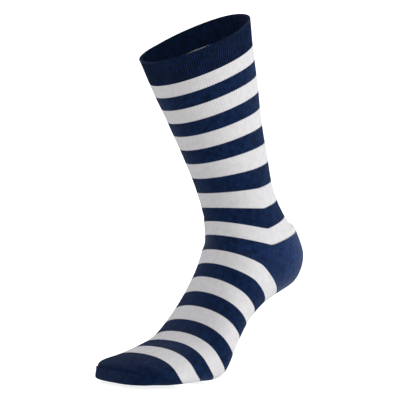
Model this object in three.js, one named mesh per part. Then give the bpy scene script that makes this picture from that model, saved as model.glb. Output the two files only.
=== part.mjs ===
// A striped crew sock, hollow and filled out as on a foot that stands on tiptoe.
// Millimetres, +Z up. The toe points along -Y, the heel along +Y, and X runs across the foot.
// The origin is the centre of the sock's open mouth, where the wearer's leg fills it.
import * as THREE from "three";

// ---- driving sizes ----
const WALL = 1.3;          // thickness of the plain knit
const CUFF_WALL = 1.7;     // thickness of the ribbed knit
const SEAM_GAP = 0.3;      // room left where one knitted piece meets the next
const SEGMENTS = 40;       // facets round the tube
const SIDE_ROUNDING = 0.06; // how softly a drooping section turns over at the sides
const FRONT_FULLNESS = 0.97; // exponent of a section's front half: 1 is an ellipse
const CUFF_LIFT = 0.32;    // how far, in bands, the cuff's lower edge has ridden up on one side
const LIFT_TURN = -2.27;   // where round the tube it has ridden up, in radians
const LIFT_FADE = 8;       // how many bands below the cuff the stripes are even again

const TOE_LINING = 0.3;    // how many bands short of the toe seam the toe's inner face ends
const SEAM_RIDGE = 1;      // how far the linked toe seam stands out
const SEAM_HEIGHT = 1.6;   // how tall the ridge of the toe seam is
const SEAM_TURN = 1.1;     // how far round the toe the seam runs to each side, in radians
const SEAM_STATIONS = 25;  // sections along the toe seam
const SEAM_NEAR = 0.12;    // how many bands of cloth beside the toe seam it has to clear

// One row for each named section of the tube, from the mouth to the toe seam.
// band: how many stripes down the tube. ahead and up place the front and back
// edge of the section in the plane between the two ankles, ahead of the heel and above the
// ground. halfWidth is across the foot. sideAt says how far from the front edge towards the back
// edge the widest point lies. droop pulls the sides along the tube. backShape below 1 squares
// the back half.
const SECTIONS = [
  { band: 0, frontAhead: 150, frontUp: 254, backAhead: 69, backUp: 297,
    halfWidth: 51, sideAt: 0.5, droop: 1.6, backShape: 1 },
  { band: 2, frontAhead: 142, frontUp: 236, backAhead: 63.3, backUp: 275.5,
    halfWidth: 45, sideAt: 0.5, droop: 0, backShape: 1 },
  { band: 5, frontAhead: 127, frontUp: 206, backAhead: 54.6, backUp: 238,
    halfWidth: 38, sideAt: 0.5, droop: 0, backShape: 1 },
  { band: 8, frontAhead: 110, frontUp: 174, backAhead: 46, backUp: 195,
    halfWidth: 33, sideAt: 0.5, droop: 0, backShape: 1 },
  { band: 11, frontAhead: 94, frontUp: 139, backAhead: 33, backUp: 148,
    halfWidth: 31, sideAt: 0.5, droop: 5, backShape: 1 },
  { band: 12, frontAhead: 92, frontUp: 128, backAhead: 24, backUp: 134,
    halfWidth: 31, sideAt: 0.48, droop: 9, backShape: 1 },
  { band: 13, frontAhead: 91, frontUp: 117, backAhead: 11, backUp: 121.5,
    halfWidth: 33, sideAt: 0.44, droop: 10, backShape: 0.95 },
  { band: 13.33, frontAhead: 91, frontUp: 113, backAhead: 3, backUp: 99,
    halfWidth: 33.5, sideAt: 0.44, droop: 6, backShape: 0.92 },
  { band: 13.67, frontAhead: 91, frontUp: 108.6, backAhead: 11.3, backUp: 77,
    halfWidth: 33.5, sideAt: 0.42, droop: 0, backShape: 0.9 },
  { band: 14, frontAhead: 91, frontUp: 105.3, backAhead: 36, backUp: 64,
    halfWidth: 34, sideAt: 0.4, droop: -5.5, backShape: 0.86 },
  { band: 15, frontAhead: 95, frontUp: 94.2, backAhead: 51, backUp: 58,
    halfWidth: 34, sideAt: 0.44, droop: -3, backShape: 0.85 },
  { band: 16, frontAhead: 100, frontUp: 83.2, backAhead: 65, backUp: 49,
    halfWidth: 35, sideAt: 0.48, droop: -1.5, backShape: 0.84 },
  { band: 18, frontAhead: 111.3, frontUp: 60.3, backAhead: 86, backUp: 29,
    halfWidth: 40, sideAt: 0.5, droop: 0.5, backShape: 0.8 },
  { band: 20, frontAhead: 126.3, frontUp: 40.5, backAhead: 102, backUp: 5,
    halfWidth: 46, sideAt: 0.48, droop: 3, backShape: 0.75 },
  { band: 22, frontAhead: 147, frontUp: 29.5, backAhead: 125, backUp: 2.5,
    halfWidth: 48.5, sideAt: 0.5, droop: 6, backShape: 0.74 },
  { band: 23, frontAhead: 161, frontUp: 25.3, backAhead: 142, backUp: 2.2,
    halfWidth: 48.5, sideAt: 0.52, droop: 6, backShape: 0.73 },
  { band: 24.3, frontAhead: 174.5, frontUp: 22.3, backAhead: 163, backUp: 2.2,
    halfWidth: 45.5, sideAt: 0.6, droop: 1, backShape: 0.72 },
  { band: 25.2, frontAhead: 183.5, frontUp: 18.4, backAhead: 181, backUp: 2.4,
    halfWidth: 42.5, sideAt: 0.64, droop: -8.5, backShape: 0.74 },
  { band: 25.7, frontAhead: 187, frontUp: 17.2, backAhead: 188, backUp: 6.5,
    halfWidth: 40, sideAt: 0.58, droop: -13, backShape: 0.86 },
  { band: 26, frontAhead: 188.4, frontUp: 16.3, backAhead: 188.9, backUp: 13.2,
    halfWidth: 38, sideAt: 0.52, droop: -14, backShape: 1 },
];
const COLUMNS = Object.keys(SECTIONS[0]).filter((name) => name !== "band");
const MOUTH = SECTIONS[0];
const TOE_BAND = SECTIONS[SECTIONS.length - 1].band;

// ---- the knitted pieces, from the mouth down: bands between which each lies ----
const PIECES = [
  { name: "cuff", from: 0, to: 2, rings: 4, wall: CUFF_WALL, look: "ribbedNavy" },
  { name: "leg", from: 2, to: 13, rings: 14, wall: WALL, look: "striped" },
  { name: "heel", from: 13, to: 14, rings: 9, wall: WALL, look: "navy" },
  { name: "foot", from: 14, to: 23, rings: 12, wall: WALL, look: "striped" },
  { name: "toe", from: 23, to: TOE_BAND, rings: 9, wall: WALL, look: "navy", closed: true },
];

const LOOKS = {
  ribbedNavy: { color: 0x17294a, roughness: 0.92, metalness: 0 },
  navy: { color: 0x1b2d50, roughness: 0.9, metalness: 0 },
  striped: { color: 0xe6e4e4, roughness: 0.9, metalness: 0 },
};

// ---- sections ----

// Slope of one column at row i: the weighted mean of the slopes either side.
function slopeAt(column, i) {
  const rise = (k) => (SECTIONS[k + 1][column] - SECTIONS[k][column])
    / (SECTIONS[k + 1].band - SECTIONS[k].band);
  if (i === 0) return rise(0);
  if (i === SECTIONS.length - 1) return rise(i - 1);
  const before = SECTIONS[i].band - SECTIONS[i - 1].band;
  const after = SECTIONS[i + 1].band - SECTIONS[i].band;
  return (rise(i - 1) * after + rise(i) * before) / (before + after);
}

// The section at any band, on a smooth curve through the rows.
function sectionAt(band) {
  let i = SECTIONS.findIndex((row) => row.band > band) - 1;
  if (i < 0) i = SECTIONS.length - 2;
  const span = SECTIONS[i + 1].band - SECTIONS[i].band;
  const t = (band - SECTIONS[i].band) / span;
  const section = {};
  for (const column of COLUMNS) {
    section[column] = (2 * t ** 3 - 3 * t ** 2 + 1) * SECTIONS[i][column]
      + (t ** 3 - 2 * t ** 2 + t) * span * slopeAt(column, i)
      + (-2 * t ** 3 + 3 * t ** 2) * SECTIONS[i + 1][column]
      + (t ** 3 - t ** 2) * span * slopeAt(column, i + 1);
  }
  return section;
}

// How far the knit has ridden up towards the mouth at a place, in bands.
function rideUp(band, turn) {
  const share = Math.min(band / 2, Math.max(0, 1 - (band - 2) / LIFT_FADE));
  return CUFF_LIFT * share * Math.max(0, Math.cos(turn - LIFT_TURN)) ** 2;
}

// A point of the cloth's outer face: turn 0 is the front of the section, half a turn the back.
function skinPoint(band, turn) {
  const section = sectionAt(band - rideUp(band, turn));
  const front = new THREE.Vector2(section.frontAhead, section.frontUp);
  const back = new THREE.Vector2(section.backAhead, section.backUp);
  const widest = front.clone().lerp(back, section.sideAt);
  const alongTube = new THREE.Vector2(front.y - back.y, back.x - front.x).normalize();
  const c = Math.cos(turn);
  const s = Math.sin(turn);
  const shape = c > 0 ? FRONT_FULLNESS : section.backShape;
  const reach = Math.abs(c) ** shape;
  const edge = c > 0 ? front : back;
  const soft = (x) => Math.sqrt(x * x + SIDE_ROUNDING ** 2) - SIDE_ROUNDING;
  const atSide = 1 - soft(c) / soft(1);
  const point = widest.clone()
    .addScaledVector(edge.clone().sub(widest), reach)
    .addScaledVector(alongTube, section.droop * atSide);
  const across = section.halfWidth * Math.sign(s) * Math.abs(s) ** shape;
  return new THREE.Vector3(across, -point.x, point.y);
}

// Outward direction of the cloth at a point, from two short steps over its face.
function outward(band, turn) {
  const step = 0.02;
  const low = Math.max(band - step, 0);
  const high = Math.min(band + step, TOE_BAND);
  const down = skinPoint(high, turn).sub(skinPoint(low, turn));
  const round = skinPoint(band, turn + step).sub(skinPoint(band, turn - step));
  return down.cross(round).normalize();
}

const turnOf = (j) => (2 * Math.PI * (j % SEGMENTS)) / SEGMENTS;

// How many bands half a seam gap takes up at a turn, on one side (1 below, -1 above) of a band.
function halfGap(band, turn, side) {
  const step = 0.01;
  const reach = skinPoint(band + side * step, turn).distanceTo(skinPoint(band, turn));
  return (SEAM_GAP / 2) * (step / reach);
}

// The band where ring i of a piece crosses a turn. Joined ends stop half a seam gap short, and
// short is how many bands earlier the last ring lies.
function ringBand({ from, to, rings, closed }, i, turn, short = 0) {
  const start = from === 0 ? from : from + halfGap(from, turn, 1);
  const end = closed ? to - short : to - halfGap(to, turn, -1);
  return start + ((end - start) * i) / (rings - 1);
}

// ---- meshes ----

// A closed geometry from points and triangles that already share their corners.
function solid(points, triangles) {
  const geometry = new THREE.BufferGeometry();
  const flat = points.flatMap((p) => [p.x, p.y, p.z]);
  geometry.setAttribute("position", new THREE.Float32BufferAttribute(flat, 3));
  geometry.setIndex(triangles.flat());
  geometry.computeVertexNormals();
  return geometry;
}

// Triangles between two neighbouring rings of points that start at the numbers a and b.
function joinRings(a, b) {
  const faces = [];
  for (let j = 0; j < SEGMENTS; j += 1) {
    const k = (j + 1) % SEGMENTS;
    faces.push([a + j, b + j, b + k], [a + j, b + k, a + k]);
  }
  return faces;
}

// A strip that closes the last ring of the toe, from its upper edge to its lower edge.
function closeRing(a) {
  const faces = [];
  const half = SEGMENTS / 2;
  for (let j = 0; j < half / 2; j += 1) {
    const top = [a + j, a + j + 1];
    const low = [a + half - j, a + half - j - 1];
    faces.push([top[0], low[0], low[1]]);
    if (top[1] !== low[1]) faces.push([top[0], low[1], top[1]]);
    const farTop = [a + ((SEGMENTS - j) % SEGMENTS), a + SEGMENTS - j - 1];
    const farLow = [a + half + j, a + half + j + 1];
    faces.push([farTop[0], farLow[1], farLow[0]]);
    if (farTop[1] !== farLow[1]) faces.push([farTop[0], farTop[1], farLow[1]]);
  }
  return faces;
}

// A tube of cloth: an outer face, an inner face one wall inside it, and rims or a closed toe.
function clothTube(piece) {
  const points = [];
  const addRing = (pointAt) => {
    const first = points.length;
    for (let j = 0; j < SEGMENTS; j += 1) points.push(pointAt(turnOf(j)));
    return first;
  };
  const count = Array.from({ length: piece.rings }, (_, i) => i);
  const outer = count.map((i) => addRing((turn) => skinPoint(ringBand(piece, i, turn), turn)));
  const inner = count.map((i) => addRing((turn) => {
    const band = ringBand(piece, i, turn, TOE_LINING);
    return skinPoint(band, turn).addScaledVector(outward(band, turn), -piece.wall);
  }));
  const faces = [];
  const flip = (list) => list.map(([p, q, r]) => [p, r, q]);
  const last = piece.rings - 1;
  for (let i = 0; i < last; i += 1) {
    faces.push(...joinRings(outer[i], outer[i + 1]));
    faces.push(...flip(joinRings(inner[i], inner[i + 1])));
  }
  faces.push(...flip(joinRings(outer[0], inner[0])));
  if (piece.closed) {
    faces.push(...closeRing(outer[last]), ...flip(closeRing(inner[last])));
  } else {
    faces.push(...joinRings(outer[last], inner[last]));
  }
  return solid(points, faces);
}

// The linked seam: a low ridge just in front of the toe's closing edge, from side to side.
function toeSeam() {
  const middleOf = (turn) => skinPoint(TOE_BAND, turn)
    .add(skinPoint(TOE_BAND, Math.PI - turn))
    .multiplyScalar(0.5);
  const points = [];
  const faces = [];
  const corners = [[0, 0.5], [0.7, 0.5], [1, 0], [0.7, -0.5], [0, -0.5]]; // share out, share up
  for (let i = 0; i < SEAM_STATIONS; i += 1) {
    const turn = SEAM_TURN * ((2 * i) / (SEAM_STATIONS - 1) - 1);
    const along = middleOf(turn + 0.01).sub(middleOf(turn - 0.01));
    const out = new THREE.Vector3(along.y, -along.x, 0).normalize();
    const clothOut = Math.max(...[turn, Math.PI - turn].flatMap((edge) => [0, SEAM_NEAR]
      .map((near) => skinPoint(TOE_BAND - near, edge).sub(middleOf(turn)).dot(out))));
    for (const [shareOut, shareUp] of corners) {
      points.push(middleOf(turn)
        .addScaledVector(out, clothOut + SEAM_GAP + SEAM_RIDGE * shareOut)
        .add(new THREE.Vector3(0, 0, SEAM_HEIGHT * shareUp)));
    }
  }
  const n = corners.length;
  for (let i = 0; i < SEAM_STATIONS - 1; i += 1) {
    for (let c = 0; c < n; c += 1) {
      const a = n * i + c;
      const b = n * i + ((c + 1) % n);
      faces.push([a, b, b + n], [a, b + n, a + n]);
    }
  }
  const end = n * (SEAM_STATIONS - 1);
  for (let c = 1; c < n - 1; c += 1) {
    faces.push([0, c + 1, c], [end, end + c, end + c + 1]);
  }
  return solid(points, faces);
}

const group = new THREE.Group();

function addPiece(name, geometry, look) {
  const mesh = new THREE.Mesh(geometry, new THREE.MeshStandardMaterial(LOOKS[look]));
  mesh.name = name;
  group.add(mesh);
}

for (const piece of PIECES) addPiece(piece.name, clothTube(piece), piece.look);
addPiece("toe_seam", toeSeam(), "navy");

// The mouth's centre goes to the origin.
group.position.set(
  0,
  (MOUTH.frontAhead + MOUTH.backAhead) / 2,
  -(MOUTH.frontUp + MOUTH.backUp) / 2,
);

export default group;
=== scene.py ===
"""A striped crew sock, hollow and filled out as on a foot that stands on tiptoe.

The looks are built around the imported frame. Everything is in metres, +Z up, with the toe along -Y,
the heel along +Y and the origin at the centre of the open mouth. Section sizes are in millimetres.
"""

import logging
import math
from dataclasses import dataclass
from enum import Enum

import bmesh
import bpy
import numpy as np
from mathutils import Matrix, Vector


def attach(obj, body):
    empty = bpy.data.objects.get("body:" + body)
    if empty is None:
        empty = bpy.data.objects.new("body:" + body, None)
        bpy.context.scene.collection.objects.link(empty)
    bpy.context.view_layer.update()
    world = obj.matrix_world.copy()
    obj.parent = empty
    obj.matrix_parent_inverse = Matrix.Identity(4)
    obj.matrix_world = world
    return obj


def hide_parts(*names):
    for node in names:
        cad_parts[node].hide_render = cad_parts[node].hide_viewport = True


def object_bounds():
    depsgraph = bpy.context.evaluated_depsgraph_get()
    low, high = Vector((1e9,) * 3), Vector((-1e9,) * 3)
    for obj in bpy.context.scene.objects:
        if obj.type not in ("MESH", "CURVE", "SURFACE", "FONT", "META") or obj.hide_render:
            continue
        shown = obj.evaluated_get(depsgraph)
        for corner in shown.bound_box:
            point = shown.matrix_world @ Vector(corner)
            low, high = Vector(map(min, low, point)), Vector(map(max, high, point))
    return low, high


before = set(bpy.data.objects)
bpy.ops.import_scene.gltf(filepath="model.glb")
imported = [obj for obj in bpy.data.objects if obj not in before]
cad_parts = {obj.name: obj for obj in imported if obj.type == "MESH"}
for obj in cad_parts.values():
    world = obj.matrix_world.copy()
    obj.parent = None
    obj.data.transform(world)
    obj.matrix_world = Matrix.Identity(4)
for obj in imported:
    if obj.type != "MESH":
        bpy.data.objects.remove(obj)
CAD_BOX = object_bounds()

log = logging.getLogger("sock")

MM = 0.001
QUARTER = math.pi / 2

# ---- the form: the same sections as the frame's, in millimetres ----


@dataclass(frozen=True)
class Section:
    """One cross-section of the tube of cloth, from the mouth to the toe seam.

    band counts stripes down the tube. front and back are the edges in the middle plane, as
    (ahead of the heel, above the ground). side_at is the share from front to back where the
    section is widest, droop pulls its sides along the tube, and front_shape and back_shape square
    each half below 1 and point it above 1. Swing moves the section across, with the foot's bend.
    """

    band: float
    front: tuple[float, float]
    back: tuple[float, float]
    half_width: float
    side_at: float
    droop: float
    back_shape: float
    front_shape: float = 0.97
    swing: float = 0


SECTIONS = (
    Section(0, (150, 254), (69, 297), 51, 0.5, 1.6, 1),
    Section(2, (142, 236), (63.3, 275.5), 45, 0.5, 0, 1),
    Section(5, (127, 206), (54.6, 238), 38, 0.5, 0, 1),
    Section(8, (110, 174), (46, 195), 33, 0.5, 0, 1),
    Section(11, (94, 139), (33, 148), 31, 0.5, 5, 1),
    Section(12, (92, 128), (23.4, 134.2), 31, 0.48, 9, 1),
    Section(12.5, (91.4, 122.5), (17.7, 127.5), 32, 0.46, 9.6, 0.975),
    Section(13, (91, 117), (11, 121.5), 33, 0.44, 10, 0.95),
    Section(13.33, (91, 113), (3, 99), 33.5, 0.44, 6, 0.92),
    Section(13.67, (91, 108.6), (12.1, 77.4), 33.5, 0.42, 0, 0.9),
    Section(14, (91, 105.3), (36.4, 64.8), 33.8, 0.4, -5.0, 0.86),
    Section(15, (95, 94.2), (51, 58), 34, 0.44, -3, 0.85),
    Section(16, (100, 83.2), (65, 49), 35, 0.48, -1.5, 0.84),
    Section(18, (111.3, 60.3), (86, 29), 40, 0.5, 0.5, 0.8),
    Section(20, (126.3, 40.5), (104, 4.6), 45.8, 0.48, 3, 0.75, 0.92, -1),
    Section(22, (147, 29.5), (128.5, 2.4), 48.2, 0.5, 6, 0.72, 0.88, -2),
    Section(23, (161, 25), (146, 2.4), 48.2, 0.52, 6, 0.7, 0.9, -2),
    Section(24.3, (174.5, 22.8), (165.5, 2.8), 45.5, 0.6, 1, 0.62, 1.0, -1.5),
    Section(25.2, (183, 20.2), (183.5, 3.8), 41.3, 0.62, -8.5, 0.6, 1.1, -1),
    Section(25.7, (186.8, 18.8), (188.6, 6), 39.0, 0.56, -12.6, 0.66, 1.12, -1),
    Section(26, (188.2, 17.2), (189.3, 14.2), 37.6, 0.52, -13.6, 0.8, 1, -1),
)
TOE_BAND = SECTIONS[-1].band
MOUTH_CENTRE = (109.5, 275.5)  # ahead and up of the mouth's centre, which is the origin

# ---- the knit ----

RIBS_PER_HALF = 78  # ribs round the cuff's front half, and as many round its back half
WALES_PER_HALF = 64  # columns of stitches round each half of the plain knit
COURSES_PER_BAND = 11  # rows of stitches in one stripe


class Knit(Enum):
    """How the yarn is knitted."""

    RIB = "rib"
    PLAIN = "plain"


@dataclass(frozen=True)
class Crease:
    """A soft trough in the cloth, or a ridge where its depth is below zero.

    band and turn place its middle (turn in degrees: 0 front, 90 and -90 the sides, 180 back),
    reach is its half length in degrees, width its half width in bands, and slant how many bands
    it climbs over its reach. depth is in millimetres.
    """

    band: float
    turn: float
    reach: float
    width: float
    slant: float
    depth: float

    def height(self, bands: np.ndarray, degrees: np.ndarray) -> np.ndarray:
        """The crease's height in millimetres over the cloth.

        Args:
            bands: the band of each point.
            degrees: the turn of each point, in degrees.

        Returns:
            The height of each point, below zero in a trough.
        """
        along = ((degrees - self.turn + 180) % 360 - 180) / self.reach
        across = (bands - self.band - self.slant * along) / self.width
        return -self.depth * np.exp(-(along**2) - across**2)


CREASES = (
    # across the front of the ankle, where the cloth bunches a little
    Crease(11.6, -12, 46, 0.20, 0.10, 0.55),
    Crease(12.7, 14, 40, 0.18, -0.12, 0.45),
    Crease(13.8, -20, 55, 0.34, 0.10, -0.8),
    Crease(15.3, 18, 34, 0.20, 0.08, 0.35),
    # above the heel, behind the ankle
    Crease(11.3, 172, 40, 0.24, 0.05, 0.4),
    Crease(12.3, 196, 34, 0.20, -0.08, 0.45),
    # under the arch, where the sole is slack
    Crease(16.4, 176, 36, 0.25, 0.10, 0.5),
    Crease(18.1, 190, 30, 0.22, -0.10, 0.4),
    # over the ball of the foot, where the toes bend up
    Crease(20.2, 6, 44, 0.25, 0.12, 0.4),
    Crease(21.5, -16, 34, 0.22, -0.08, 0.3),
)


class SockForm:
    """The smooth outer face of the filled-out sock, worked out from its sections."""

    HEEL_ROUNDING = 0.035  # how sharply the stripes turn at the sides of the ankle and heel
    FOOT_ROUNDING = 0.3  # and at the sides of the foot
    FOOT_FROM = 14.5  # the band where the turn starts to soften
    FOOT_FADE = 3  # and over how many bands it does
    CUFF_LIFT = 0.32  # how far, in bands, the cuff has ridden up on one side
    LIFT_TURN = -2.27  # where round the tube, in radians
    LIFT_FADE = 8.0  # how many bands below the cuff the stripes are even again
    FINE_STEPS = 200

    def __init__(self, sections: tuple[Section, ...]) -> None:
        """Keeps the sections as columns, with a smooth slope at each.

        Args:
            sections: the sections, from the mouth to the toe.
        """
        self.bands = np.array([s.band for s in sections], float)
        self.values = np.array(
            [
                (*s.front, *s.back, s.half_width, s.side_at, s.droop, s.back_shape, s.front_shape, s.swing)
                for s in sections
            ]
        )
        spans = np.diff(self.bands)[:, None]
        rises = np.diff(self.values, axis=0) / spans
        middle = (rises[:-1] * spans[1:] + rises[1:] * spans[:-1]) / (spans[1:] + spans[:-1])
        self.slopes = np.concatenate([rises[:1], middle, rises[-1:]])

    def at(self, bands: np.ndarray) -> np.ndarray:
        """The section's columns at any band.

        Args:
            bands: an array of bands, of any shape.

        Returns:
            An array of that shape with one more axis, the ten columns.
        """
        i = np.clip(np.searchsorted(self.bands, bands, side="right") - 1, 0, len(self.bands) - 2)
        span = (self.bands[i + 1] - self.bands[i])[..., None]
        t = (bands - self.bands[i])[..., None] / span
        start = (2 * t**3 - 3 * t**2 + 1) * self.values[i] + (t**3 - 2 * t**2 + t) * span * self.slopes[i]
        end = (3 * t**2 - 2 * t**3) * self.values[i + 1] + (t**3 - t**2) * span * self.slopes[i + 1]
        return start + end

    def ride_up(self, bands: np.ndarray, turns: np.ndarray) -> np.ndarray:
        """How far the knit has ridden up towards the mouth at each point, in bands."""
        share = np.minimum(bands / 2, np.clip(1 - (bands - 2) / self.LIFT_FADE, 0, 1))
        return self.CUFF_LIFT * share * np.clip(np.cos(turns - self.LIFT_TURN), 0, 1) ** 2

    def points(self, bands: np.ndarray, turns: np.ndarray) -> np.ndarray:
        """Points of the outer face, in metres in the frame.

        Args:
            bands: the band of each point.
            turns: the turn of each point in radians, 0 at the front.

        Returns:
            An array with a last axis of x, y and z.
        """
        columns = self.at(bands - self.ride_up(bands, turns))
        front, back = columns[..., 0:2], columns[..., 2:4]
        half_width, side_at, droop = (columns[..., k] for k in range(4, 7))
        back_shape, front_shape, swing = (columns[..., k] for k in range(7, 10))
        widest = front + (back - front) * side_at[..., None]
        across = back - front
        across = across / np.linalg.norm(across, axis=-1, keepdims=True)
        down = np.stack([-across[..., 1], across[..., 0]], axis=-1)
        c, s = np.cos(turns), np.sin(turns)
        shape = np.where(c > 0, front_shape, back_shape)
        edge = np.where((c > 0)[..., None], front, back)
        on_foot = np.clip((bands - self.FOOT_FROM) / self.FOOT_FADE, 0, 1)
        rounding = self.HEEL_ROUNDING + (self.FOOT_ROUNDING - self.HEEL_ROUNDING) * on_foot
        soft = np.sqrt(c * c + rounding**2) - rounding
        at_side = 1 - soft / (np.sqrt(1 + rounding**2) - rounding)
        plane = widest + (edge - widest) * (np.abs(c) ** shape)[..., None]
        plane = plane + down * (droop * at_side)[..., None]
        x = swing + half_width * np.sign(s) * np.abs(s) ** shape
        y = MOUTH_CENTRE[0] - plane[..., 0]
        z = plane[..., 1] - MOUTH_CENTRE[1]
        return np.stack([x, y, z], axis=-1) * MM

    def even_turns(self, bands: np.ndarray, steps: int) -> np.ndarray:
        """Turns that space the wales evenly round the front half and round the back half.

        Args:
            bands: one band for each ring.
            steps: how many columns each half has.

        Returns:
            An array of rings by columns, in radians, from the left side round the front.
        """
        halves = []
        for start in (-QUARTER, QUARTER):
            turns = np.linspace(start, start + math.pi, self.FINE_STEPS + 1)
            ring = self.points(bands[:, None] + 0 * turns, turns + 0 * bands[:, None])
            steps_along = np.linalg.norm(np.diff(ring, axis=1), axis=-1)
            travelled = np.concatenate([np.zeros((len(bands), 1)), np.cumsum(steps_along, axis=1)], axis=1)
            share = np.arange(steps) / steps
            halves.append(np.stack([np.interp(share * row[-1], row, turns) for row in travelled]))
        return np.concatenate(halves, axis=1)


def outward(points: np.ndarray) -> np.ndarray:
    """Unit outward directions of a grid of rings by columns that closes round the columns.

    Args:
        points: the grid, with rings running down the tube.

    Returns:
        A grid of directions of the same shape.
    """
    down = np.gradient(points, axis=0)
    round_tube = np.roll(points, -1, axis=1) - np.roll(points, 1, axis=1)
    normal = np.cross(down, round_tube)
    return normal / np.maximum(np.linalg.norm(normal, axis=-1, keepdims=True), 1e-12)


# ---- meshes ----


class MeshMaker:
    """Gathers grids of points into one mesh, with wale and course numbers as its UV map."""

    def __init__(self) -> None:
        """Starts with nothing."""
        self.points: list[np.ndarray] = []
        self.count = 0
        self.faces: list[np.ndarray] = []
        self.uvs: list[np.ndarray] = []

    def add_points(self, grid: np.ndarray) -> np.ndarray:
        """Adds a grid of points.

        Args:
            grid: rings by columns by x, y and z.

        Returns:
            The numbers of the points, as rings by columns.
        """
        flat = grid.reshape(-1, 3)
        numbers = np.arange(self.count, self.count + len(flat)).reshape(grid.shape[:-1])
        self.points.append(flat)
        self.count += len(flat)
        return numbers

    def add_tube(
        self, numbers: np.ndarray, wales: np.ndarray, courses: np.ndarray, inside: bool = False
    ) -> None:
        """Adds the faces between rings of points, closed round the columns.

        Args:
            numbers: rings by columns of point numbers.
            wales: the wale number at each column, and one more for the closing column.
            courses: rings by columns of course numbers.
            inside: whether the faces look into the tube.
        """
        nxt = np.roll(numbers, -1, axis=1)
        course_next = np.roll(courses, -1, axis=1)
        quads = np.stack([numbers[:-1], numbers[1:], nxt[1:], nxt[:-1]], axis=-1)
        u0 = np.broadcast_to(wales[:-1], numbers[:-1].shape)
        u1 = np.broadcast_to(wales[1:], numbers[:-1].shape)
        u = np.stack([u0, u0, u1, u1], axis=-1)
        v = np.stack([courses[:-1], courses[1:], course_next[1:], course_next[:-1]], axis=-1)
        uv = np.stack([u, v], axis=-1)
        if inside:
            quads, uv = quads[..., ::-1], uv[..., ::-1, :]
        self.faces.append(quads.reshape(-1, 4))
        self.uvs.append(uv.reshape(-1, 4, 2))

    def add_quads(self, quads: np.ndarray, wale: float, course: float) -> None:
        """Adds loose quads that all have one wale and course number.

        Args:
            quads: faces by four point numbers; a repeated number makes a triangle.
            wale: the wale number for them all.
            course: the course number for them all.
        """
        self.faces.append(quads)
        self.uvs.append(np.broadcast_to(np.array([wale, course], float), (len(quads), 4, 2)))

    def build(self, name: str, sharp_angle: float) -> bpy.types.Object:
        """Makes the mesh object.

        Args:
            name: the piece's name.
            sharp_angle: edges that turn more than this, in degrees, stay crisp.

        Returns:
            The new object, linked to the scene.
        """
        points = np.concatenate(self.points)
        quads = np.concatenate(self.faces)
        uvs = np.concatenate(self.uvs)
        keep = quads != np.roll(quads, 1, axis=1)
        sizes = keep.sum(axis=1)
        mesh = bpy.data.meshes.new(name)
        mesh.vertices.add(len(points))
        mesh.vertices.foreach_set("co", points.astype(np.float32).ravel())
        mesh.loops.add(int(sizes.sum()))
        mesh.loops.foreach_set("vertex_index", quads[keep].astype(np.int32))
        mesh.polygons.add(len(quads))
        starts = np.concatenate([[0], np.cumsum(sizes)[:-1]])
        mesh.polygons.foreach_set("loop_start", starts.astype(np.int32))
        mesh.update(calc_edges=True)
        layer = mesh.uv_layers.new(name="stitches")
        layer.uv.foreach_set("vector", uvs[keep].astype(np.float32).ravel())
        mesh.polygons.foreach_set("use_smooth", np.ones(len(quads), bool))
        mesh.set_sharp_from_angle(angle=math.radians(sharp_angle))
        mesh.validate()
        piece = bpy.data.objects.new(name, mesh)
        bpy.context.scene.collection.objects.link(piece)
        return piece


# ---- finishes ----


class Nodes:
    """A short way to write a material's node tree."""

    COLOUR_A = 6  # the Mix node's sockets for colours, which share their names with others
    COLOUR_B = 7
    MIXED_COLOUR = 2

    def __init__(self, name: str) -> None:
        """Starts a material with a Principled shader.

        Args:
            name: the material's name.
        """
        self.material = bpy.data.materials.new(name)
        self.material.use_nodes = True
        self.tree = self.material.node_tree
        self.tree.nodes.clear()
        self.shader = self.tree.nodes.new("ShaderNodeBsdfPrincipled")
        output = self.tree.nodes.new("ShaderNodeOutputMaterial")
        self.tree.links.new(self.shader.outputs["BSDF"], output.inputs["Surface"])

    def put(self, socket: bpy.types.NodeSocket, value: object) -> None:
        """Links a socket to another, or sets its value."""
        if isinstance(value, bpy.types.NodeSocket):
            self.tree.links.new(value, socket)
        elif isinstance(value, tuple):
            socket.default_value = value[: len(socket.default_value)]
        else:
            socket.default_value = value

    def math(
        self, operation: str, first: object, second: object = 0.0, third: object = 0.0
    ) -> bpy.types.NodeSocket:
        """A Math node.

        Args:
            operation: the node's operation.
            first: a number or socket.
            second: a number or socket.
            third: a number or socket.

        Returns:
            The node's result.
        """
        node = self.tree.nodes.new("ShaderNodeMath")
        node.operation = operation
        for socket, value in zip(node.inputs, (first, second, third)):
            self.put(socket, value)
        return node.outputs[0]

    def mix(self, share: object, first: object, second: object) -> bpy.types.NodeSocket:
        """A colour mix.

        Args:
            share: how much of the second colour, a number or socket.
            first: a colour or socket.
            second: a colour or socket.

        Returns:
            The mixed colour.
        """
        node = self.tree.nodes.new("ShaderNodeMix")
        node.data_type = "RGBA"
        self.put(node.inputs["Factor"], share)
        self.put(node.inputs[self.COLOUR_A], first)
        self.put(node.inputs[self.COLOUR_B], second)
        return node.outputs[self.MIXED_COLOUR]

    def noise(self, vector: bpy.types.NodeSocket, scale: float, detail: float) -> bpy.types.NodeSocket:
        """A noise texture.

        Args:
            vector: where it is read.
            scale: its scale.
            detail: how many finer layers it has.

        Returns:
            The noise from 0 to 1.
        """
        node = self.tree.nodes.new("ShaderNodeTexNoise")
        self.put(node.inputs["Vector"], vector)
        node.inputs["Scale"].default_value = scale
        node.inputs["Detail"].default_value = detail
        return node.outputs["Fac"]


@dataclass(frozen=True)
class Yarn:
    """A yarn's colour as linear red, green and blue, and how uneven its shade is."""

    red: float
    green: float
    blue: float
    mottle: float

    def colour(self, shade: float = 1.0) -> tuple[float, float, float, float]:
        """The yarn's colour, darkened by a shade below 1."""
        return (self.red * shade, self.green * shade, self.blue * shade, 1.0)


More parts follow.
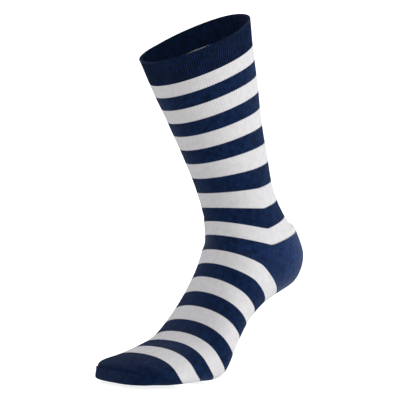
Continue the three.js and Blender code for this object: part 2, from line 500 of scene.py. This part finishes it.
NAVY = Yarn(0.0027, 0.0105, 0.0385, 0.5)
WHITE = Yarn(0.56, 0.55, 0.56, 0.06)


ROW_DEPTH = 0.45  # how deep the gaps between rows are, as a share of a stitch's height
PATCH_SCALE = 230.0  # shade patches to the metre
PATCH_SPREAD = 4.0  # how far the patches' shades lie apart
FUZZ_SCALE = 1900.0  # fuzz to the metre
HEEL_RAMP = (0.015, 0.095)  # metres towards the heel, where the colour starts and ends paling


@dataclass(frozen=True)
class KnitFinish:
    """The finish of a knitted piece: yarns, stitches, fuzz and sheen, with painted shade in the grooves
    between wales.
    """

    name: str
    knit: Knit
    main: Yarn
    stripe: Yarn | None
    relief: float
    sheen: float
    sheen_tint: tuple[float, float, float, float]
    # painted shade: how dark the grooves between wales are painted, as a share of the yarn's colour
    groove_painted_shade: float
    # how narrow the painted groove shade is; a higher power makes it narrower
    groove_width: float = 4.0
    # the colour pales towards the heel by this share, over HEEL_RAMP
    pale_toward_heel: float = 0.0
    roughness: float = 0.95
    chevron: float = 0.55

    def stitch_height(self, nodes: Nodes, wale: bpy.types.NodeSocket, course: bpy.types.NodeSocket) -> tuple:
        """The height of the stitches and the number of the row that each point belongs to.

        Args:
            nodes: the tree to write in.
            wale: the wale coordinate.
            course: the course coordinate.

        Returns:
            The height from 0 to 1, and the course coordinate bent along the stitch's two legs.
        """
        across = nodes.math("ABSOLUTE", nodes.math("SUBTRACT", nodes.math("FRACT", wale), 0.5))
        bent = nodes.math("MULTIPLY_ADD", across, self.chevron * 2, course)
        legs = nodes.math("SINE", nodes.math("MULTIPLY", across, 2 * math.pi))
        rows = nodes.math("SINE", nodes.math("MULTIPLY", nodes.math("FRACT", bent), math.pi))
        if self.knit is Knit.RIB:
            legs = nodes.math("COSINE", nodes.math("MULTIPLY", across, math.pi))
        row_height = nodes.math("MULTIPLY_ADD", rows, ROW_DEPTH, 1 - ROW_DEPTH)
        height = nodes.math("MULTIPLY", nodes.math("MAXIMUM", legs, 0.0), row_height)
        return height, bent

    def material(self) -> bpy.types.Material:
        """Writes the finish as a procedural material.

        Returns:
            The material, coloured and raised by stitch and by row, with painted shade in the grooves between
            wales.
        """
        nodes = Nodes(self.name)
        uv = nodes.tree.nodes.new("ShaderNodeUVMap")
        uv.uv_map = "stitches"
        split = nodes.tree.nodes.new("ShaderNodeSeparateXYZ")
        nodes.put(split.inputs[0], uv.outputs[0])
        place = nodes.tree.nodes.new("ShaderNodeTexCoord").outputs["Object"]
        height, bent = self.stitch_height(nodes, split.outputs["X"], split.outputs["Y"])

        row = nodes.math("FLOOR", bent)
        colour: object = self.main.colour()
        mottle: object = self.main.mottle
        if self.stripe is not None:
            band = nodes.math("FLOOR", nodes.math("DIVIDE", nodes.math("ADD", row, 0.5), COURSES_PER_BAND))
            odd = nodes.math("FLOORED_MODULO", band, 2.0)
            colour = nodes.mix(odd, self.main.colour(), self.stripe.colour())
            mottle = nodes.math("MULTIPLY_ADD", odd, self.stripe.mottle - self.main.mottle, self.main.mottle)

        # each stitch is a little lighter or darker than the next, and so are whole patches
        cell = nodes.tree.nodes.new("ShaderNodeCombineXYZ")
        nodes.put(cell.inputs[0], nodes.math("FLOOR", split.outputs["X"]))
        nodes.put(cell.inputs[1], row)
        chance = nodes.tree.nodes.new("ShaderNodeTexWhiteNoise")
        chance.noise_dimensions = "2D"
        nodes.put(chance.inputs["Vector"], cell.outputs[0])
        patches = nodes.noise(place, PATCH_SCALE, 5.0)
        fuzz = nodes.noise(place, FUZZ_SCALE, 2.0)
        patch = nodes.math("MULTIPLY_ADD", patches, PATCH_SPREAD, -PATCH_SPREAD / 2 - 0.5)
        either_way = nodes.math("ADD", chance.outputs["Value"], patch)
        mottled = nodes.math("MULTIPLY_ADD", either_way, mottle, 1.0)
        # painted shade: the colour darkens towards the groove between each pair of wales, where shade would
        # fall
        edge = nodes.math("ABSOLUTE", nodes.math("SUBTRACT", nodes.math("FRACT", split.outputs["X"]), 0.5))
        border = nodes.math("POWER", nodes.math("MULTIPLY", edge, 2.0), self.groove_width)
        groove = nodes.math("MULTIPLY_ADD", border, self.groove_painted_shade - 1, 1.0)
        shade = nodes.math("MULTIPLY", mottled, groove)
        # the navy pales towards the heel
        if self.pale_toward_heel:
            where = nodes.tree.nodes.new("ShaderNodeSeparateXYZ")
            nodes.put(where.inputs[0], place)
            at_heel = nodes.tree.nodes.new("ShaderNodeMapRange")
            at_heel.inputs["From Min"].default_value = HEEL_RAMP[0]
            at_heel.inputs["From Max"].default_value = HEEL_RAMP[1]
            nodes.put(at_heel.inputs["Value"], where.outputs["Y"])
            paler = nodes.math("MULTIPLY_ADD", at_heel.outputs["Result"], self.pale_toward_heel, 1.0)
            shade = nodes.math("MULTIPLY", shade, paler)
        scaled = nodes.tree.nodes.new("ShaderNodeVectorMath")
        scaled.operation = "SCALE"
        nodes.put(scaled.inputs[0], colour)
        nodes.put(scaled.inputs["Scale"], shade)
        nodes.put(nodes.shader.inputs["Base Color"], scaled.outputs[0])

        yarn = nodes.math("MULTIPLY_ADD", fuzz, 0.35, height)
        bump = nodes.tree.nodes.new("ShaderNodeBump")
        bump.inputs["Strength"].default_value = 0.6
        bump.inputs["Distance"].default_value = self.relief * MM
        nodes.put(bump.inputs["Height"], yarn)
        nodes.put(nodes.shader.inputs["Normal"], bump.outputs["Normal"])
        nodes.shader.inputs["Roughness"].default_value = self.roughness
        nodes.shader.inputs["Specular IOR Level"].default_value = 0.06
        nodes.shader.inputs["Sheen Weight"].default_value = self.sheen
        nodes.shader.inputs["Sheen Roughness"].default_value = 0.35
        nodes.shader.inputs["Sheen Tint"].default_value = self.sheen_tint
        return nodes.material


COOL = (0.45, 0.6, 1.0, 1.0)
DUSTY = (0.72, 0.8, 1.0, 1.0)
# the eighth value of each is the painted shade in the grooves between ribs or wales
RIB_FINISH = KnitFinish("navy_rib_knit", Knit.RIB, NAVY, None, 0.3, 0.06, COOL, 0.1, 2.0)
HEEL_FINISH = KnitFinish("navy_heel_knit", Knit.PLAIN, NAVY, None, 0.25, 0.3, DUSTY, 0.5, 4.0, 1.2)
TOE_FINISH = KnitFinish("navy_toe_knit", Knit.PLAIN, NAVY, None, 0.25, 0.03, COOL, 0.5)
STRIPED_FINISH = KnitFinish("striped_plain_knit", Knit.PLAIN, WHITE, NAVY, 0.25, 0.12, COOL, 0.8)

# ---- the knitted pieces ----


@dataclass
class KnittedPiece:
    """One knitted piece: a closed wall of cloth between two bands of the sock."""

    name: str
    node: str
    slot: str
    first: float
    last: float
    rings: int
    inner_rings: int
    columns_per_wale: int
    wall: float
    relief: float
    finish: KnitFinish
    wales_per_half: int = WALES_PER_HALF
    rim_steps: int = 7

    def wale_height(self, wales: np.ndarray, bands: np.ndarray) -> np.ndarray:
        """The height of the wales' own relief in millimetres."""
        wave = np.abs(np.sin(math.pi * wales)) ** 0.7
        return self.relief * (wave - 1) + 0 * bands

    def course_numbers(self, bands: np.ndarray, points: np.ndarray) -> np.ndarray:
        """The course number of every point of a grid."""
        return bands * COURSES_PER_BAND

    def surface(self, form: SockForm, rings: int) -> tuple[np.ndarray, np.ndarray, np.ndarray, np.ndarray]:
        """The smooth outer face of the piece with its creases.

        Args:
            form: the sock's form.
            rings: how many rings to make.

        Returns:
            Points, outward directions, bands and turns, each as rings by columns.
        """
        columns = self.wales_per_half * self.columns_per_wale
        step = (self.last - self.first) / (rings - 1)
        wide = self.first + step * np.arange(-1, rings + 1)
        wide = np.clip(wide, 0, TOE_BAND)
        turns = form.even_turns(wide, columns)
        bands = wide[:, None] + 0 * turns
        points = form.points(bands, turns)
        directions = outward(points)
        degrees = np.degrees(turns)
        heights = sum(c.height(bands, degrees) for c in CREASES)
        heights = heights + self.unevenness(bands, turns)
        points = points + directions * heights[..., None] * MM
        directions = outward(points)
        return points[1:-1], directions[1:-1], bands[1:-1], turns[1:-1]

    def unevenness(self, bands: np.ndarray, turns: np.ndarray) -> np.ndarray:
        """Slow rises and falls of the cloth in millimetres, as it settles on nothing exact."""
        slow = 0.16 * np.sin(0.83 * bands + 2 * turns + 0.4) + 0.12 * np.sin(1.57 * bands - 3 * turns + 1.9)
        quick = 0.05 * np.sin(2.9 * bands + 5 * turns + 0.7)
        return (slow + quick) * np.clip((TOE_BAND - bands) / 2, 0, 1)

    def wales(self) -> np.ndarray:
        """The wale number at each column, and at the closing column."""
        return np.arange(2 * self.wales_per_half * self.columns_per_wale + 1) / self.columns_per_wale

    def build(self, form: SockForm) -> bpy.types.Object:
        """Makes the piece's mesh.

        Args:
            form: the sock's form.

        Returns:
            The piece, riding on the frame and standing for its node.
        """
        maker = MeshMaker()
        wales = self.wales()
        points, directions, bands, _ = self.surface(form, self.rings)
        relief = self.wale_height(wales[:-1], bands)
        outer = points + directions * relief[..., None] * MM
        courses = self.course_numbers(bands, points)
        in_points, in_directions, in_bands, _ = self.surface(form, self.inner_rings)
        in_relief = self.wale_height(wales[:-1] + 0.5, in_bands)
        inner = in_points - in_directions * (self.wall + in_relief)[..., None] * MM
        in_courses = self.course_numbers(in_bands, in_points)
        outer_numbers = maker.add_points(outer)
        inner_numbers = maker.add_points(inner)
        maker.add_tube(outer_numbers, wales, courses)
        maker.add_tube(inner_numbers, wales, in_courses, inside=True)
        self.close_start(maker, (outer, inner), (outer_numbers, inner_numbers), wales, courses)
        self.close_end(maker, (outer, inner), (outer_numbers, inner_numbers), wales, courses)
        piece = maker.build(self.name, 60)
        piece.data.materials.append(self.finish.material())
        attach(piece, "root")
        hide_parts(self.node)
        log.info("%s: %d faces", self.name, len(piece.data.polygons))
        return piece

    def close_start(
        self, maker: MeshMaker, grids: tuple, numbers: tuple, wales: np.ndarray, courses: np.ndarray
    ) -> None:
        """Closes the upper rim with a flat edge that meets the next piece."""
        rim = np.stack([numbers[1][0], numbers[0][0]])
        maker.add_tube(rim, wales, np.stack([courses[0], courses[0]]))

    def close_end(
        self, maker: MeshMaker, grids: tuple, numbers: tuple, wales: np.ndarray, courses: np.ndarray
    ) -> None:
        """Closes the lower rim with a flat edge that meets the next piece."""
        rim = np.stack([numbers[0][-1], numbers[1][-1]])
        maker.add_tube(rim, wales, np.stack([courses[-1], courses[-1]]))


@dataclass
class Cuff(KnittedPiece):
    """The ribbed top band, whose upper edge is a soft round welt."""

    def wale_height(self, wales: np.ndarray, bands: np.ndarray) -> np.ndarray:
        """Round ribs with narrow grooves, fading into the welt and into the leg."""
        rib = (0.5 - 0.5 * np.cos(2 * math.pi * wales)) ** 0.6
        into_welt = np.clip((bands - self.first) / 0.10, 0, 1)
        into_leg = np.clip((self.last - bands) / 0.08 + 0.35, 0, 1)
        fade = into_welt * into_leg
        return self.relief * (rib - 1) * fade

    def close_start(
        self, maker: MeshMaker, grids: tuple, numbers: tuple, wales: np.ndarray, courses: np.ndarray
    ) -> None:
        """Rounds the mouth's edge over from the outer face to the inner face."""
        outer, inner = grids[0][0], grids[1][0]
        middle = (outer + inner) / 2
        half = (outer - inner) / 2
        away = grids[0][0] - grids[0][1]
        away = away / np.linalg.norm(away, axis=-1, keepdims=True)
        radius = np.linalg.norm(half, axis=-1, keepdims=True)
        angles = np.linspace(math.pi, 0, self.rim_steps + 2)[1:-1]
        rounds = [middle + half * math.cos(a) + away * radius * math.sin(a) for a in angles]
        added = maker.add_points(np.stack(rounds))
        rim = np.concatenate([numbers[1][:1], added, numbers[0][:1]])
        maker.add_tube(rim, wales, np.broadcast_to(courses[0], rim.shape))


@dataclass
class HeelPocket(KnittedPiece):
    """The turned heel: rows shorten from the ankle down to the gore line and widen again below."""

    pitch: float = 1.12

    def course_numbers(self, bands: np.ndarray, points: np.ndarray) -> np.ndarray:
        """Rows that run beside the pocket's two edges and meet at its gore line.

        Args:
            bands: the band of each point.
            points: the points of the outer face, in metres.

        Returns:
            The course number of each point.
        """
        steps = np.linalg.norm(np.diff(points, axis=0), axis=-1) / MM
        down = np.concatenate([np.zeros((1, steps.shape[1])), np.cumsum(steps, axis=0)])
        total = down[-1]
        top = down / self.pitch
        bottom = (total.max() - (total - down)) / self.pitch
        pocket = np.where(down < total / 2, top, bottom)
        instep = (bands - self.first) * COURSES_PER_BAND
        half = bands.shape[1] // 2
        front = np.arange(bands.shape[1]) < half
        return np.where(front, instep, pocket)


@dataclass
class ToeCap(KnittedPiece):
    """The toe cap, drawn in along the sides and closed by a seam across its front."""

    lip_depth: float = 0.6
    lip_share: float = 0.45

    def close_end(
        self, maker: MeshMaker, grids: tuple, numbers: tuple, wales: np.ndarray, courses: np.ndarray
    ) -> None:
        """Turns the two edges in to a groove for the seam, and closes the inner face."""
        edge = grids[0][-1]
        mirror = np.roll(edge[::-1], 1, axis=0)
        middle = (edge + mirror) / 2
        inward = grids[0][-6].mean(axis=0) - edge.mean(axis=0)
        inward = inward / np.linalg.norm(inward)
        lip = middle + (edge - middle) * self.lip_share + inward * self.lip_depth * MM
        lip_numbers = maker.add_points(lip[None])
        rings = np.concatenate([numbers[0][-1:], lip_numbers])
        maker.add_tube(rings, wales, np.broadcast_to(courses[-1], rings.shape))
        self.close_slit(maker, lip_numbers[0], courses[-1, 0], False)
        self.close_slit(maker, numbers[1][-1], courses[-1, 0], True)

    def close_slit(self, maker: MeshMaker, ring: np.ndarray, course: float, inside: bool) -> None:
        """Closes a flat ring from its upper half to its lower half.

        Args:
            maker: the mesh being made.
            ring: the ring's point numbers, from one side round the front.
            course: the course number for the faces.
            inside: whether the faces look into the sock.
        """
        half = len(ring) // 2
        c = np.arange(half)
        upper, upper_next = ring[c], ring[c + 1]
        lower, lower_next = ring[(-c) % len(ring)], ring[-c - 1]
        quads = np.stack([upper, lower, lower_next, upper_next], axis=-1)
        if inside:
            quads = quads[:, ::-1]
        maker.add_quads(quads, 0.5, course)


@dataclass
class ToeSeam:
    """The linked seam across the front of the toe: a thin row of looped stitches."""

    name: str = "toe_seam_linking"
    node: str = "toe_seam"
    slot: str = "navy_knit"
    reach: float = 68.0  # degrees round the toe to each side
    radius: float = 0.5
    loops: int = 74
    steps_per_loop: int = 6
    sides: int = 10
    proud: float = 0.15

    def build(self, form: SockForm) -> bpy.types.Object:
        """Makes the seam's mesh.

        Args:
            form: the sock's form.

        Returns:
            The seam, riding on the frame and standing for its node.
        """
        count = self.loops * self.steps_per_loop + 1
        turns = np.radians(np.linspace(-self.reach, self.reach, count))
        bands = np.full(count, float(TOE_BAND))
        line = (form.points(bands, turns) + form.points(bands, math.pi - turns)) / 2
        along = np.gradient(line, axis=0)
        along = along / np.linalg.norm(along, axis=-1, keepdims=True)
        out = np.cross(along, np.array([0.0, 0.0, 1.0]))
        out = out / np.linalg.norm(out, axis=-1, keepdims=True)
        up = np.cross(out, along)
        share = np.linspace(-1, 1, count)
        taper = np.clip((1 - np.abs(share)) / 0.06, 0, 1) ** 0.5
        loop = np.abs(np.sin(math.pi * np.arange(count) / self.steps_per_loop)) ** 0.6
        radius = self.radius * (0.72 + 0.28 * loop) * np.maximum(taper, 0.25)
        centre = line + out * (self.proud + 0.1 * loop)[:, None] * MM
        angles = np.linspace(0, 2 * math.pi, self.sides, endpoint=False)
        ring = out[:, None] * np.cos(angles)[None, :, None] + up[:, None] * np.sin(angles)[None, :, None]
        grid = centre[:, None] + ring * (radius * MM)[:, None, None]
        maker = MeshMaker()
        numbers = maker.add_points(grid)
        wales = np.arange(self.sides + 1) / self.sides
        courses = np.broadcast_to((np.arange(count) / self.steps_per_loop)[:, None], numbers.shape)
        maker.add_tube(numbers, wales, courses)
        piece = maker.build(self.name, 80)
        self.cap_ends(piece)
        piece.data.materials.append(TOE_FINISH.material())
        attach(piece, "root")
        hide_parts(self.node)
        log.info("%s: %d faces", self.name, len(piece.data.polygons))
        return piece

    def cap_ends(self, piece: bpy.types.Object) -> None:
        """Closes the two ends of the seam's tube."""
        work = bmesh.new()
        work.from_mesh(piece.data)
        bmesh.ops.holes_fill(work, edges=work.edges[:], sides=self.sides)
        bmesh.ops.recalc_face_normals(work, faces=work.faces[:])
        work.to_mesh(piece.data)
        work.free()


@dataclass
class Sock:
    """The whole sock: its knitted pieces and the seam that closes its toe."""

    plain_wall: float = 1.3
    rib_wall: float = 1.7

    def pieces(self) -> list[KnittedPiece]:
        """The knitted pieces in order down the tube."""
        plain = {"columns_per_wale": 5, "wall": self.plain_wall, "relief": 0.12}
        return [
            Cuff(
                "cuff_rib", "cuff", "navy_rib", 0, 2, 32, 32, 6, self.rib_wall, 0.5, RIB_FINISH, RIBS_PER_HALF
            ),
            KnittedPiece("leg_knit", "leg", "striped_knit", 2, 13, 111, 13, finish=STRIPED_FINISH, **plain),
            HeelPocket("heel_knit", "heel", "navy_knit", 13, 14, 61, 13, finish=HEEL_FINISH, **plain),
            KnittedPiece(
                "foot_knit", "foot", "striped_knit", 14, 23, 100, 12, finish=STRIPED_FINISH, **plain
            ),
            ToeCap("toe_knit", "toe", "navy_knit", 23, TOE_BAND, 49, 15, finish=TOE_FINISH, **plain),
        ]

    def build(self) -> list[bpy.types.Object]:
        """Builds every piece and the toe seam.

        Returns:
            The pieces in order down the tube, then the toe seam.
        """
        form = SockForm(SECTIONS)
        built = [piece.build(form) for piece in self.pieces()]
        built.append(ToeSeam().build(form))
        return built


# ---- the studio ----

FLOOR_SIDES = 96  # flat sides round the floor


@dataclass
class Studio:
    """A pale floor that sweeps up all round, soft lights and the camera."""

    azimuth: float = 53.0
    elevation: float = 1.0
    distance: float = 1.25
    aim: tuple[float, float, float] = (0.0, 0.0095, -0.1455)
    aim_right: float = -0.0031
    aim_up: float = 0.0155
    focal_length: float = 139.05
    floor_gap: float = 0.0006
    floor_radius: float = 3.2
    sweep: float = 1.4

    def directions(self) -> tuple[Vector, Vector, Vector]:
        """Works out how the camera is turned.

        Returns:
            The camera's back, right and up directions.
        """
        a, e = math.radians(self.azimuth), math.radians(self.elevation)
        back = Vector((math.sin(a) * math.cos(e), -math.cos(a) * math.cos(e), math.sin(e)))
        right = Vector((math.cos(a), math.sin(a), 0))
        return back, right, back.cross(right)

    def build_camera(self) -> None:
        """Places the camera and makes it the scene's."""
        data = bpy.data.cameras.new("camera")
        data.lens = self.focal_length
        data.sensor_width = 36
        data.clip_end = 50
        camera = bpy.data.objects.new("camera", data)
        back, right, up = self.directions()
        stand = Vector(self.aim) + back * self.distance
        look_at = Vector(self.aim) + right * self.aim_right + up * self.aim_up
        camera.location = stand
        camera.rotation_euler = (look_at - stand).to_track_quat("-Z", "Y").to_euler()
        bpy.context.scene.collection.objects.link(camera)
        bpy.context.scene.camera = camera

    def build_floor(self) -> None:
        """Makes the floor, whose edge sweeps up into a wall all round."""
        low = CAD_BOX[0][2] - self.floor_gap
        profile = [(0.0, 0.0), (self.floor_radius - self.sweep, 0.0)]
        for k in range(1, 13):
            angle = k / 12 * QUARTER
            out = self.floor_radius - self.sweep + self.sweep * math.sin(angle)
            profile.append((out, self.sweep * (1 - math.cos(angle))))
        profile.append((self.floor_radius, 3.0))
        turns = np.linspace(0, 2 * math.pi, FLOOR_SIDES, endpoint=False)
        rings = [[(r * math.cos(t), r * math.sin(t), low + h) for t in turns] for r, h in profile[1:]]
        grid = np.array(rings)
        maker = MeshMaker()
        numbers = maker.add_points(grid)
        maker.add_tube(numbers, np.linspace(0, 1, FLOOR_SIDES + 1), np.zeros(numbers.shape), inside=True)
        floor = maker.build("floor", 60)
        work = bmesh.new()
        work.from_mesh(floor.data)
        work.verts.ensure_lookup_table()
        work.faces.new([work.verts[i] for i in range(FLOOR_SIDES)])
        work.normal_update()
        work.to_mesh(floor.data)
        work.free()
        nodes = Nodes("pale_floor")
        nodes.shader.inputs["Base Color"].default_value = (0.5, 0.5, 0.5, 1)
        nodes.shader.inputs["Roughness"].default_value = 0.9
        nodes.shader.inputs["Emission Color"].default_value = (1, 1, 1, 1)
        nodes.shader.inputs["Emission Strength"].default_value = 0.84
        floor.data.materials.append(nodes.material)
        floor.visible_diffuse = False  # the floor looks white and throws no light on the sock

    def build_light(
        self, name: str, side: float, toward: float, up: float, size: float, power: float
    ) -> None:
        """Adds one soft area light that looks at the sock.

        Args:
            name: the light's name.
            side: metres to the camera's right.
            toward: metres from the sock to the camera's side.
            up: metres up.
            size: the light's width in metres.
            power: its power in watts.
        """
        back, right, _ = self.directions()
        flat_back = Vector((back.x, back.y, 0)).normalized()
        data = bpy.data.lights.new(name, "AREA")
        data.size = size
        data.energy = power
        light = bpy.data.objects.new(name, data)
        away = right * side + flat_back * toward + Vector((0, 0, up))
        light.location = Vector(self.aim) + away
        light.rotation_euler = (Vector(self.aim) - light.location).to_track_quat("-Z", "Y").to_euler()
        bpy.context.scene.collection.objects.link(light)

    def build_lights(self) -> None:
        """Adds the even sky and the soft lights."""
        world = bpy.data.worlds.new("sky")
        world.use_nodes = True
        background = world.node_tree.nodes["Background"]
        background.inputs["Color"].default_value = (1, 1, 1, 1)
        background.inputs["Strength"].default_value = 0.97
        bpy.context.scene.world = world
        self.build_light("key", 1.15, 0.5, 0.1, 0.8, 12.5)
        self.build_light("top", 0.1, 0.2, 1.5, 1.0, 0.5)

    def build(self) -> None:
        """Builds the camera, floor and lights."""
        self.build_camera()
        self.build_floor()
        self.build_lights()
        bpy.context.scene.view_settings.view_transform = "Standard"


def write_sizes() -> None:
    """Updates the scene's view layer."""
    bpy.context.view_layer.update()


def main() -> None:
    """Builds the studio and the sock."""
    logging.basicConfig(level=logging.INFO, format="%(name)s: %(message)s")
    Studio().build()
    Sock().build()
    write_sizes()


if __name__ == "__main__":
    main()
